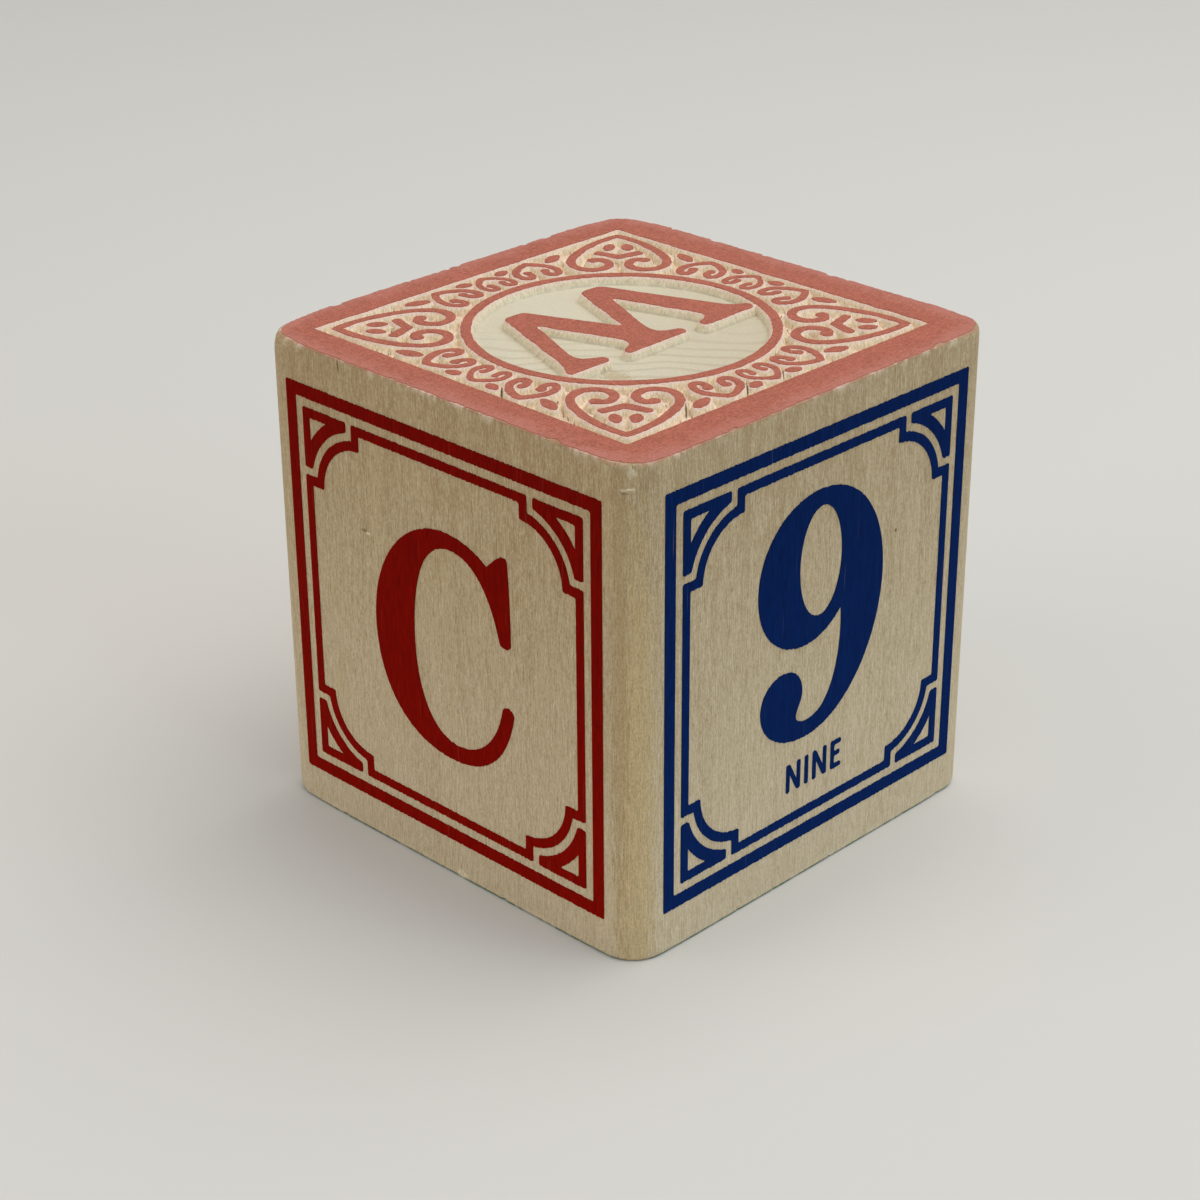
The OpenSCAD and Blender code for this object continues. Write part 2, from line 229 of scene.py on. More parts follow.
def triangles_through(loops, loose=np.empty((0, 2))):
    """Delaunay triangles through closed loops and loose points.

    Gives the points, the triangles, the loops round each triangle and the input place of each point.
    """
    faces = []
    start = 0
    for loop in loops:
        ids = list(range(start, start + len(loop)))
        faces.append(ids if area(loop) > 0 else ids[::-1])
        start += len(loop)
    points = [Vector(point) for point in np.concatenate([*loops, loose])]
    found = geometry.delaunay_2d_cdt(points, [], faces, 0, TOUCH / 10)
    flat, _, triangles, sources, _, holders = found
    sources = np.array([source[0] if source else -1 for source in sources])
    return np.array([tuple(p) for p in flat]), np.array(triangles), holders, sources


def border_edges(triangles):
    """Edges that only one triangle has, in the way that triangle runs."""
    edges = {(a, b) for t in triangles for a, b in zip(t, (t[1], t[2], t[0]))}
    return sorted((a, b) for a, b in edges if (b, a) not in edges)


# Pieces


def add_object(name, data):
    """A new object in the scene."""
    thing = bpy.data.objects.new(name, data)
    bpy.context.scene.collection.objects.link(thing)
    return thing


def add_piece(name, places, faces, finish, nodes=(), smooth_shade=False):
    """A new mesh piece, given in millimetres, that stands for the nodes."""
    mesh = bpy.data.meshes.new(name)
    mesh.from_pydata((places * MM).tolist(), [], [tuple(map(int, face)) for face in faces])
    mesh.materials.append(finish)
    if smooth_shade:
        mesh.shade_smooth()
        mesh.set_sharp_from_angle(angle=CREASE)
    piece = add_object(name, mesh)
    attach(piece, "root")
    if nodes:
        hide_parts(*nodes)
    return piece


def closed_film(side, flat, triangles, base, thickness):
    """Places and faces of an ink film: its outer face, its underside and its rim."""
    count = len(flat)
    places = np.vstack([side.placed(flat, base + thickness), side.placed(flat, base)])
    faces = [tuple(t) for t in triangles]
    faces += [(a + count, c + count, b + count) for a, b, c in triangles]
    faces += [(a, a + count, b + count, b) for a, b in border_edges(triangles)]
    return places, faces


def film_thickness(node, side):
    """How far a film stands off the wood."""
    low, high = box_of(node)
    return float((high - low) @ abs(side.out))


# Wood


@functools.lru_cache
def block_outline(step):
    """Outline of the block from above, counter-clockwise."""
    loops = film_loops("top_border", SIDES["top"])
    return stepped(eased(max(loops, key=area), corner_cut=0), step)


# Share of the full corner wear at each corner of an end, by the signs of its X and Y
CORNER_WEAR_SHARES = {
    "top": {(1, -1): 0.25, (-1, -1): 0.9, (1, 1): 0.35, (-1, 1): 0.7},
    "bottom": {(1, -1): 0.3, (-1, -1): 0.4, (1, 1): 0.3, (-1, 1): 0.4},
}
# How much further a corner is worn down than in
CORNER_FALL = 2.0
# Widths of the swells and chips along a worn edge, in millimetres
LONG_SWELL = 3.1
SHORT_SWELL = 0.7
CHIP_WIDTH = 0.9
# How much a swell adds to the usual wear, and the least and most that is left of it
SWELL_SHARE = 0.9
WEAR_RANGE = (0.3, 3)
# A chip starts where its noise passes the first number and deepens by the second
CHIP_START = 0.36
CHIP_SLOPE = 5


def edge_wear(end_name, columns, wood):
    """How far the end's edge is worn in, and down, at each column of the outline."""
    seed = PRESSED_ENDS.index(end_name) * 7.3
    swell = 1 + SWELL_SHARE * wander(columns, LONG_SWELL, seed)
    swell = swell + SWELL_SHARE * wander(columns, SHORT_SWELL, seed + 1.7)
    chip = smooth((wander(columns, CHIP_WIDTH, seed + 3.1) - CHIP_START) * CHIP_SLOPE)
    diagonal = np.abs(columns).sum(axis=1)
    corner = smooth(1 - (diagonal.max() - diagonal) / (wood.corner_run / MM))
    shares = CORNER_WEAR_SHARES[end_name]
    corner *= [shares[math.copysign(1, x), math.copysign(1, y)] for x, y in columns]
    corner *= wood.corner_wear / MM
    inset = wood.edge_wear / MM * np.clip(swell, *WEAR_RANGE) + wood.chip_depth / MM * chip + corner
    return inset, inset + CORNER_FALL * corner


def ring_of(end_name):
    """Middle of an end's ring on its face and the ring's outer radius."""
    side = SIDES[end_name]
    corners = side.flat(box_of(end_name + "_ring"))
    return corners.mean(axis=0), np.ptp(corners, axis=0).max() / 2


# Steps, in millimetres, at which the outlines and the block's edge are sampled for distances
OUTLINE_SAMPLE = 0.05
EDGE_SAMPLE = 0.1
# Points of an end that fall into the same square of this size are thinned to one
CROWDED = 0.07
# Rows of points beside an outline, in shares of the wall's run and of the rim's width
WALL_ROWS = (0.45, 0.98)
RIM_ROWS = (0.35, 0.9)
# Rows of points inside the block's edge, and the room that the fill leaves there, in millimetres
EDGE_ROWS = (0.1, 0.3)
EDGE_ROOM = 0.4
# Pitch of the fill's jitter and of the crushed fibres, in millimetres
JITTER_PITCH = 0.37
RIDGE_PITCHES = (0.45, 0.2)
# Share of the ground's roughness that is left inside the ring
RING_ROUGH_SHARE = 0.35


class PressedEnd:
    """One end as triangles on its plane, with the height, the land reach and the owner of each."""

    def __init__(self, end_name, edge, wood):
        self.side = SIDES[end_name]
        self.edge = edge
        self.ring_middle, self.ring_radius = ring_of(end_name)
        loops, owners = self.land_loops(end_name, wood)
        self.outlines = Nearness(np.concatenate([stepped(loop, OUTLINE_SAMPLE) for loop in loops]))
        self.rim = Nearness(stepped(edge, EDGE_SAMPLE))
        loose = self.loose_points(loops, wood)
        flat, triangles, holders, sources = triangles_through([edge, *loops], loose)
        inside = [index for index, held in enumerate(holders) if 0 in held]
        sizes = [abs(area(loop)) for loop in (edge, *loops)]
        owners = [end_name + "_border", *owners]
        self.flat = flat
        self.triangles = triangles[inside]
        self.sources = sources
        self.owner = []
        for index in inside:
            land = len(holders[index]) % 2 == 1
            self.owner.append(owners[min(holders[index], key=sizes.__getitem__)] if land else None)
        self.measure(len(edge), sum(map(len, loops)), wood)

    def land_loops(self, end_name, wood):
        """Outlines of the raised lands and the film on each, without the block's own outline."""
        loops = []
        owners = []
        for node in films_on(end_name):
            found = sorted(film_loops(node, self.side), key=area)
            if node == end_name + "_border":
                found = found[:-1]
            for loop in found:
                loop = stepped(eased(loop, LAND_CORNER_CUT), wood.outline_step / MM)
                loops.append(loop + wood.bare_rim / MM * normals(loop))
                owners.append(node)
        return loops, owners

    def loose_points(self, loops, wood):
        """Rows of points beside every outline, for the walls and rims, and an even fill elsewhere."""
        wall = wood.wall_run / MM
        rim = wood.rim_width / MM
        kept = {}

        def keep(points, least):
            """Keeps the points that are at least so far from every outline."""
            clear = self.outlines.of(points) >= least
            clear &= self.rim.of(points) >= TOUCH * 50
            for x, y in points[clear]:
                kept.setdefault((round(x / CROWDED), round(y / CROWDED)), (x, y))

        offsets = [share * wall for share in WALL_ROWS] + [-share * rim for share in RIM_ROWS]
        for offset in offsets:
            for loop in loops:
                keep(loop + offset * normals(loop), 0.93 * abs(offset))
        outward = np.sign(area(self.edge)) * normals(self.edge)
        for offset in EDGE_ROWS:
            keep(self.edge - offset * outward, EDGE_ROWS[-1])
        pitch = wood.fill_step / MM
        half = np.abs(self.edge).max()
        count = int(half / pitch)
        grid = np.array([(i, j) for i in range(-count, count + 1) for j in range(-count, count + 1)])
        grid = grid * pitch
        jitter = np.stack([wander(grid, JITTER_PITCH, seed) for seed in (5.5, 9.5)], axis=1)
        grid = grid + 0.3 * pitch * jitter
        within = np.abs(grid).max(axis=1) < half - pitch
        far = self.rim.of(grid) > EDGE_ROOM
        keep(grid[within & far], 0.7 * pitch)
        return np.array(list(kept.values()))

    def measure(self, edge_count, outline_count, wood):
        """Signed reach into the land, distance from the edge and height of every point."""
        on_land = np.zeros(len(self.flat), bool)
        on_land[self.triangles[[owner is not None for owner in self.owner]]] = True
        reach = self.outlines.of(self.flat)
        on_outline = (self.sources >= edge_count) & (self.sources < edge_count + outline_count)
        reach[on_outline] = 0
        self.on_edge = (self.sources >= 0) & (self.sources < edge_count)
        self.reach = np.where(on_land, reach, -reach)
        self.edge_reach = np.where(self.on_edge, 0, self.rim.of(self.flat))
        drop = wood.rim_drop / MM
        depth = wood.press_depth / MM
        in_ring = np.hypot(*(self.flat - self.ring_middle).T) < self.ring_radius
        rough = wood.ground_rough / MM * np.where(in_ring, RING_ROUGH_SHARE, 1)
        broad, narrow = RIDGE_PITCHES
        ridge = wander(self.flat, broad, 2.2) + 0.8 * wander(self.flat, narrow, 4.4)
        wall = smooth(-self.reach / (wood.wall_run / MM) * (1 + 0.25 * ridge))
        ground = -drop * (1 - wall) - depth * wall + rough * wall * ridge
        rim = np.clip(1 - self.reach / (wood.rim_width / MM), 0, 1) ** 2
        land = -drop * rim - 0.2 * rough * (1 - rim) * np.abs(ridge)
        self.height = np.where(self.reach >= 0, land, ground)
        self.height[self.on_edge] = 0


@functools.lru_cache
def worn_columns():
    """Columns round the block and the wear of both ends at each of them."""
    wood = bpy.context.scene.block_wood
    columns = block_outline(wood.column_step / MM)
    return columns, {name: edge_wear(name, columns, wood) for name in PRESSED_ENDS}


@functools.lru_cache
def pressed_end(end_name):
    """The pressed end inside its worn edge."""
    wood = bpy.context.scene.block_wood
    columns, wear = worn_columns()
    inset, _ = wear[end_name]
    ring = columns - normals(columns) * inset[:, None]
    places = np.column_stack([ring, np.zeros(len(ring))])
    side = SIDES[end_name]
    return PressedEnd(end_name, side.flat(places), wood)


# Rows over a rounded edge, from the end to the upright wall
ROUNDING = np.radians([90, 68, 45, 22, 0])
# Share of the block's height between a rounded edge and the next row
NEXT_ROW = 0.006


def body_rows(wood):
    """Places of the block's upright wall, row by row from the bottom edge to the top one."""
    columns, wear = worn_columns()
    outward = normals(columns)
    bottom = SIDES["bottom"].middle[2]
    top = SIDES["top"].middle[2]
    low_inset, low_drop = wear["bottom"]
    high_inset, high_drop = wear["top"]
    rows = []

    def row(inset, height):
        """Adds a row of columns set in from the outline at a height."""
        rows.append(np.column_stack([columns - outward * inset[:, None], height]))

    for angle in ROUNDING:
        row(low_inset * (1 - math.cos(angle)), bottom + low_drop * (1 - math.sin(angle)))
    low = bottom + low_drop
    high = top - high_drop
    count = round((top - bottom) / (wood.row_step / MM))
    shares = [NEXT_ROW, *(np.arange(1, count) / count), 1 - NEXT_ROW]
    for share in shares:
        row(np.zeros(len(columns)), low + (high - low) * share)
    for angle in ROUNDING[::-1]:
        row(high_inset * (1 - math.cos(angle)), top - high_drop * (1 - math.sin(angle)))
    return rows


def carve_block(wood):
    """Places and faces of the whole block of wood."""
    rows = body_rows(wood)
    count = len(rows[0])
    faces = []
    for r in range(len(rows) - 1):
        low = r * count
        high = low + count
        for k in range(count):
            after = (k + 1) % count
            faces.append((low + k, low + after, high + after, high + k))
    places = list(rows)
    total = len(rows) * count
    for end_name, first in (("bottom", 0), ("top", (len(rows) - 1) * count)):
        end = pressed_end(end_name)
        ids = np.where(end.on_edge, first + end.sources, 0)
        inner = np.flatnonzero(~end.on_edge)
        ids[inner] = total + np.arange(len(inner))
        total += len(inner)
        places.append(end.side.placed(end.flat[inner], end.height[inner]))
        faces += [tuple(ids[t]) for t in end.triangles]
    return np.vstack(places), faces


# Prints and inks

# How far true corners are cut, in millimetres, where a print, a land and the word are eased
PRINT_CORNER_CUT = 0.12
LAND_CORNER_CUT = 0.06
WORD_CORNER_CUT = 0.1
# Shares of the usual bare rim that are left at the lands and at the block's edge
LAND_INSET_RANGE = (0.3, 1.5)
EDGE_INSET_RANGE = (0.3, 4)


def toothed(loop, side_name, ink):
    """A print's outline, its level edges drawn out in teeth by the upright fibres."""
    seed = PRINTED_SIDES.index(side_name) * 3.7
    pitch = ink.tooth_pitch / MM
    level = normals(loop)[:, 1]
    cells = [Vector((u / pitch, seed, math.copysign(1, n))) for u, n in zip(loop[:, 0], level)]
    fibre = np.array([noise.cell(cell) for cell in cells])
    bleed = fibre * np.abs(level) * np.sign(level) * (ink.tooth_height / MM)
    return loop + np.stack([np.zeros(len(loop)), bleed], axis=1)


def print_film(name, loops, side_name, thickness, finish, nodes=()):
    """A printed film on an upright side, filled between its loops."""
    flat, triangles, holders, _ = triangles_through(loops)
    inked = [tuple(t) for t, held in zip(triangles, holders) if len(held) % 2]
    side = SIDES[side_name]
    places, faces = closed_film(side, flat, inked, 0.0, thickness)
    return add_piece(name, places, faces, finish, nodes)


def clipped(triangles, amount):
    """Cuts triangles where amount passes zero and keeps the positive part.

    Gives the corners of each kept triangle, each as two points and the share of the way between.
    """
    def corner(a, b):
        if b is None:
            return (a, a, 0.0)
        a, b = min(a, b), max(a, b)
        return (a, b, amount[a] / (amount[a] - amount[b]))

    kept = []
    for t in triangles:
        loop = []
        for a, b in zip(t, (t[1], t[2], t[0])):
            if amount[a] > 0:
                loop.append(corner(a, None))
            if (amount[a] > 0) != (amount[b] > 0):
                loop.append(corner(a, b))
        kept += [(loop[0], loop[i], loop[i + 1]) for i in range(1, len(loop) - 1)]
    return kept


def end_film(end, node, amount):
    """Points, heights and triangles of the ink that one end's lands carry for a node."""
    mine = [t for t, owner in zip(end.triangles.tolist(), end.owner) if owner == node]
    ids = {}
    triangles = []
    for corners in clipped(mine, amount):
        triangles.append(tuple(ids.setdefault(corner, len(ids)) for corner in corners))
    first, second, share = (np.array(column) for column in zip(*ids))
    share = share[:, None]
    flat = end.flat[first] * (1 - share) + end.flat[second] * share
    height = end.height[first] * (1 - share[:, 0]) + end.height[second] * share[:, 0]
    return flat, height, triangles


# Stroke and gap of the number word's letters, in shares of its height
WORD_STROKE = 0.165
WORD_GAP = 0.21
# How far the word stands right of the side's middle, in millimetres
WORD_SHIFT = -0.11


def capital_n(width=0.66, slant=0.36):
    """Outline of an N: two stems and a slanted stroke."""
    s = WORD_STROKE
    return np.array([
        (0, 0), (s, 0), (s, 1 - slant), (width - s, 0), (width, 0),
        (width, 1), (width - s, 1), (width - s, slant), (s, 1), (0, 1),
    ])


def capital_i(width=WORD_STROKE):
    """Outline of an I."""
    return np.array([(0, 0), (width, 0), (width, 1), (0, 1)])


def capital_e(width=0.487, arm=0.43, arm_low=0.44):
    """Outline of an E: a stem and three arms, the middle one shorter."""
    s = WORD_STROKE
    return np.array([
        (0, 0), (width, 0), (width, s), (s, s), (s, arm_low), (arm, arm_low),
        (arm, arm_low + s), (s, arm_low + s), (s, 1 - s), (width, 1 - s), (width, 1), (0, 1),
    ])


def number_word():
    """Outlines of the word's letters side by side, and the word's width."""
    letters = []
    at = 0
    for letter in (capital_n(), capital_i(), capital_n(), capital_e()):
        letters.append(letter + (at, 0))
        at += letter[:, 0].max() + WORD_GAP
    return letters, at - WORD_GAP


# Shading


class Socket:
    """An output socket in a shader tree. Arithmetic on it adds Math nodes."""

    def __init__(self, tree, output):
        self.tree = tree
        self.output = output

    def grow(self, kind, settings=None, sockets=None, output=0):
        """Adds a node: its settings first, then the values or links of its sockets."""
        node = self.tree.nodes.new(kind)
        for name, value in (settings or {}).items():
            setattr(node, name, value)
        for key, value in (sockets or {}).items():
            if isinstance(value, Socket):
                self.tree.links.new(value.output, node.inputs[key])
            else:
                node.inputs[key].default_value = value
        return Socket(self.tree, node.outputs[output])

    def maths(self, operation, first, second=0.0):
        """A Math node on one or two values."""
        return self.grow("ShaderNodeMath", {"operation": operation}, {0: first, 1: second})

    def __add__(self, other):
        return self.maths("ADD", self, other)

    __radd__ = __add__

    def __sub__(self, other):
        return self.maths("SUBTRACT", self, other)

    def __rsub__(self, other):
        return self.maths("SUBTRACT", other, self)

    def __mul__(self, other):
        return self.maths("MULTIPLY", self, other)

    __rmul__ = __mul__

    def __abs__(self):
        return self.maths("ABSOLUTE", self)

    def parts(self):
        """The three parts of a vector."""
        split = self.grow("ShaderNodeSeparateXYZ", {}, {"Vector": self}).output.node
        return [Socket(self.tree, output) for output in split.outputs]


def between(value, low, high):
    """Rises smoothly from 0 at low to 1 at high."""
    return value.grow(
        "ShaderNodeMapRange",
        {"interpolation_type": "SMOOTHSTEP"},
        {"Value": value, "From Min": low, "From Max": high},
    )


def fibres(place, size, detail=2.0):
    """Noise from 0 to 1 in cells of the given size along X, Y and Z, in millimetres."""
    scaled = place.grow(
        "ShaderNodeVectorMath",
        {"operation": "MULTIPLY"},
        {0: place, 1: tuple(1 / cell for cell in size)},
    )
    return place.grow("ShaderNodeTexNoise", {}, {"Vector": scaled, "Scale": 1.0, "Detail": detail})


def mixed(first, second, share):
    """The first colour where share is 0 and the second where it is 1."""
    sockets = {0: share, 6: first, 7: second}
    return share.grow("ShaderNodeMix", {"data_type": "RGBA"}, sockets, output=2)


def toned(colour, factor):
    """A colour made lighter or darker by a factor."""
    settings = {"data_type": "RGBA", "blend_type": "MULTIPLY"}
    return factor.grow("ShaderNodeMix", settings, {0: 1.0, 6: colour, 7: factor}, output=2)


def paint(rgb):
    """A display colour as a shader's linear colour."""
    return (*Color(rgb).from_srgb_to_scene_linear(), 1.0)


def blank_finish(name, specular):
    """A new material, its shader and the place on the block in millimetres."""
    finish = bpy.data.materials.new(name)
    finish.use_nodes = True
    tree = finish.node_tree
    shader = tree.nodes["Principled BSDF"]
    shader.inputs["Specular IOR Level"].default_value = specular
    coordinates = Socket(tree, tree.nodes.new("ShaderNodeTexCoord").outputs["Object"])
    place = coordinates.grow(
        "ShaderNodeVectorMath", {"operation": "SCALE"}, {"Vector": coordinates, "Scale": 1 / MM}
    )
    return finish, shader, place


def dress(shader, colour, roughness, height, bump):
    """Feeds a shader with its colour, its roughness and a relief bump deep, in millimetres."""
    tree = colour.tree
    tree.links.new(colour.output, shader.inputs["Base Color"])
    tree.links.new(roughness.output, shader.inputs["Roughness"])
    sockets = {"Height": height, "Strength": 1.0, "Distance": bump * MM}
    normal = height.grow("ShaderNodeBump", {}, sockets)
    tree.links.new(normal.output, shader.inputs["Normal"])


def span(vector):
    """Length of a vector."""
    return vector.grow("ShaderNodeVectorMath", {"operation": "LENGTH"}, {0: vector}, output="Value")


def from_axis(place):
    """How far a place is from the block's axis, across or along it, whichever is more."""
    x, y, _ = place.parts()
    return x.maths("MAXIMUM", abs(x), abs(y))


def turned(place, degrees):
    """The place turned about the upright axis."""
    return place.grow(
        "ShaderNodeVectorRotate",
        {"rotation_type": "Z_AXIS"},
        {"Vector": place, "Angle": math.radians(degrees)},
    )


def spot(place, middle, radii, ragged):
    """1 inside an ellipsoid about a place and 0 outside it, with a torn edge."""
    away = place.grow("ShaderNodeVectorMath", {"operation": "SUBTRACT"}, {0: place, 1: middle})
    scaled = away.grow("ShaderNodeVectorMath", {"operation": "DIVIDE"}, {0: away, 1: radii})
    return between(span(scaled) + ragged, 1.0, 0.5)


# Cells of the wood's grain along X, Y and Z, in millimetres
FINE_FIBRE = (0.062, 0.062, 0.9)
LONG_FIBRE = (0.12, 0.12, 3.5)
BROAD_BAND = (1.4, 1.4, 26.0)
PORE = (0.15, 0.15, 1.1)
HAIRLINE = (0.075, 0.075, 2.2)
FLECK = (0.085, 0.085, 0.24)
GRIT = (0.15, 0.15, 1.6)
# Cells of the pressed ends: stains, slits between crushed fibres and waves of the growth rings
BLOTCH = (1.6, 1.6, 1.6)
SLIT = (0.9, 0.12, 0.9)
RING_WAVE = (9.0, 9.0, 60.0)
RING_WAVE_HEIGHT = 5.0
# Cells of the worn edges: stretches of an edge and patches in them
STRETCH = (3.5, 3.5, 3.5)
PATCH = (0.8, 0.8, 1.2)
# Cells of the printed and the rolled inks
INK_FIBRE = (0.12, 0.12, 1.3)
INK_BAND = (0.6, 0.6, 14.0)
SCRATCH = (0.09, 0.09, 7.0)
STIPPLE = (0.14, 0.14, 0.14)
CLOUD = (2.5, 2.5, 2.5)
HATCH_ACROSS = (0.6, 0.1, 1.0)
HATCH_ALONG = (0.1, 0.6, 1.0)
# Turn, in degrees, from the block's sides to the way its growth rings run
GROWTH_TURN = 45
# Specular level of each finish, and the depth of its fine relief in millimetres
WOOD_SPECULAR = 0.1
WOOD_BUMP = 0.012
PRINT_SPECULAR = 0.01
PRINT_BUMP = 0.015
ROLLED_SPECULAR = 0.05
ROLLED_BUMP = 0.02

# Knocks and blemishes of the wood, with the painted shade and highlight of a dent and the painted shadow
# under a splinter: middle and radii in millimetres, colour and strength
MARKS = (
    # Dent on the front: painted shade, and a painted highlight just below and right of it
    ((-9.40, -22.2, 29.76), (0.50, 0.5, 0.19), "pore_colour", 0.75),
    ((-8.90, -22.2, 29.60), (0.30, 0.5, 0.18), "bare_colour", 1.0),
    ((-11.85, -22.2, 44.0), (0.13, 0.5, 0.75), "pore_colour", 0.85),
    ((22.2, -11.0, 30.80), (0.5, 0.11, 0.24), "pore_colour", 0.5),
    ((22.2, 9.8, 29.2), (0.5, 0.19, 0.24), "pore_colour", 0.9),
    ((1.6, -22.2, 0.45), (0.95, 0.6, 0.50), "bare_colour", 1.0),
    # Lifted splinter at the near edge: two pale slivers of bare wood and the painted shadow under them
    ((20.70, -21.80, 42.38), (0.50, 0.60, 0.15), "bare_colour", 0.9),
    ((21.10, -21.45, 42.48), (0.50, 0.60, 0.14), "bare_colour", 0.9),
    ((20.80, -21.80, 42.10), (0.60, 0.60, 0.12), "pore_colour", 0.65),
    ((21.3, -21.5, 43.9), (0.50, 0.50, 0.85), "bare_colour", 0.6),
    ((21.6, -21.4, 12.0), (2.2, 2.2, 36.0), "amber_colour", 0.65),
    ((6.3, -7.7, 43.7), (2.0, 1.3, 0.9), "streak_colour", 0.45),
    ((20.4, -22.0, 27.0), (0.9, 1.1, 30.0), "late_colour", 0.42),
)

# Dark cracks between the lands of the top: middle on axes turned by 45 degrees, and half length
CRACKS = ((14.4, -10.30, 1.3), (18.4, 4.38, 1.2), (13.9, 9.46, 1.7), (11.0, 12.56, 1.5))
CRACK_HALF_WIDTH = 0.11
CRACK_HALF_DEPTH = 1.1


def side_grain(place, fleck, wood):
    """Colour of the long grain with painted shade towards the top, and its fine fibres and pores from 0 to
    1.
    """
    fine = fibres(place, FINE_FIBRE, 0.0)
    coarse = fibres(place, LONG_FIBRE, 0.0)
    broad = fibres(place, BROAD_BAND)
    pore = fibres(place, PORE, 0.0)
    hairline = fibres(place, HAIRLINE, 0.0)
    height = place.parts()[2] - SIDES["front"].middle[2]
    pale = fine * 0.8 + coarse * 0.4 + broad * 0.5 + fleck * 0.75 - 0.72
    # Painted shade: the grain darkens towards the top
    pale = pale - height * wood.handled
    grain = mixed(paint(wood.late_colour), paint(wood.early_colour), pale)
    grain = mixed(grain, paint(wood.streak_colour), between(broad, 0.52, 0.75) * 0.3)
    grain = mixed(grain, paint(wood.bare_colour), between(pore, 0.30, 0.16) * 0.25)
    grain = mixed(grain, paint(wood.pore_colour), between(hairline, 0.73, 0.84) * 0.35)
    return grain, fine, pore


def pressed_grain(place, grit, wood):
    """Colour of the pressed end grain: rough and torn round the ring, smooth and pale inside it."""
    x, y, _ = place.parts()
    diagonal = turned(place, GROWTH_TURN)
    blotch = between(fibres(place, BLOTCH), 0.48, 0.72)
    slit = fibres(diagonal, SLIT, 1.0)
    scroll = mixed(paint(wood.end_colour), paint(wood.streak_colour), blotch * 0.28)
    scroll = toned(scroll, 0.57 + grit * 1.1)
    scroll = mixed(scroll, paint(wood.pore_colour), between(slit, 0.54, 0.68) * 0.3)
    scroll = mixed(scroll, paint(wood.pore_colour), between(slit, 0.645, 0.70) * 0.75)

    across = diagonal.parts()[0] + fibres(place, RING_WAVE, 1.0) * RING_WAVE_HEIGHT
    phase = across * (2 * math.pi / (wood.ring_pitch / MM))
    late = between(phase.maths("SINE", phase), 0.2, 1.0) * between(x - y, -6.0, 8.0)
    shade = late * 0.2 + between(x + y, -6.0, 14.0) * 0.16
    disc = mixed(paint(wood.disc_colour), paint(wood.late_colour), shade)
    disc = toned(disc, 0.86 + grit * 0.28)

    middle, radius = ring_of("top")
    from_middle = place.grow("ShaderNodeCombineXYZ", {}, {0: x - middle[0], 1: y - middle[1]})
    return mixed(scroll, disc, between(span(from_middle), radius - 0.3, radius - 0.6))


def blemished(colour, place, grit, fleck, ragged, wood):
    """A colour with the knocks, blemishes and cracks of the wood on it, and the painted shade and highlight
    of a dent and the painted shadow under a splinter.
    """
    tone = 0.3 + grit * 0.8 + fleck * 0.6
    for middle, radii, colour_name, strength in MARKS:
        mark = spot(place, middle, radii, ragged * 1.6) * strength
        colour = mixed(colour, toned(paint(getattr(wood, colour_name)), tone), mark)
    diagonal = turned(place, GROWTH_TURN)
    level = SIDES["top"].middle[2] - wood.press_depth / MM / 2
    dark = toned(paint(wood.pore_colour), 0.35 + grit * 0.9)
    for along, across, half_length in CRACKS:
        radii = (half_length, CRACK_HALF_WIDTH, CRACK_HALF_DEPTH)
        mark = spot(diagonal, (along, across, level), radii, ragged * 0.5)
        colour = mixed(colour, dark, mark * 0.9)
    return colour


@functools.lru_cache
def hardwood_finish():
    """Solid wood with upright grain, pressed ends stained at their lands and bare worn edges."""
    wood = bpy.context.scene.block_wood
    ink = bpy.context.scene.block_ink
    finish, shader, place = blank_finish("hardwood", WOOD_SPECULAR)
    z = place.parts()[2]
    half = (SIDES["top"].middle[2] - SIDES["bottom"].middle[2]) / 2
    middle = SIDES["bottom"].middle[2] + half
    depth = half - abs(z - middle)
    reach = from_axis(place)
    pressed = between(depth, 1.05, 0.95) * between(reach, half - 1.0, half - 1.6)

    fleck = fibres(place, FLECK, 0.0)
    grain, fine, pore = side_grain(place, fleck, wood)
    grit = fibres(place, GRIT, 3.0)
    ends = pressed_grain(place, grit, wood)
    wall = between(depth, 0.68, 0.45)
    ends = mixed(ends, toned(paint(wood.bare_colour), 0.46 + grit * 1.2), wall * 0.7)
    colour = mixed(grain, ends, pressed)

    upper = between(z, middle - 1.0, middle + 1.0)
    stain = mixed(paint(ink.green_ink), paint(ink.salmon_ink), upper)
    ragged = (grit - 0.5) * 1.2
    bare_rim = toned(paint(wood.rim_colour), 0.80 + grit * 0.4)
    fuzz = mixed(bare_rim, stain, between(fine, 0.40, 0.70) * 0.3)
    rim = between(depth + ragged * 0.2, 0.26, 0.06)
    colour = mixed(colour, fuzz, rim * pressed * 0.9)

    outer = between(reach, half - 0.9, half - 0.5)
    stretches = between(fibres(place, STRETCH), 0.40, 0.58)
    patches = outer * stretches * between(fibres(place, PATCH), 0.40, 0.62)
    torn = toned(paint(wood.bare_colour), 0.75 + grit * 0.5)
    colour = mixed(colour, torn, between(depth + ragged * 0.7, 0.85, 0.10) * patches * 0.5)
    bleed = between(depth + ragged * 0.15, 0.22, 0.06) * (0.85 - upper * 0.5)
    colour = mixed(colour, stain, bleed * outer)
    colour = mixed(colour, fuzz, between(depth + ragged * 0.3, 0.30, 0.02) * patches * 0.6)
    colour = blemished(colour, place, grit, fleck, ragged, wood)
    dress(shader, colour, 0.58 + fine * 0.16, fine + pore * 0.6 + grit * 1.2, WOOD_BUMP)
    return finish


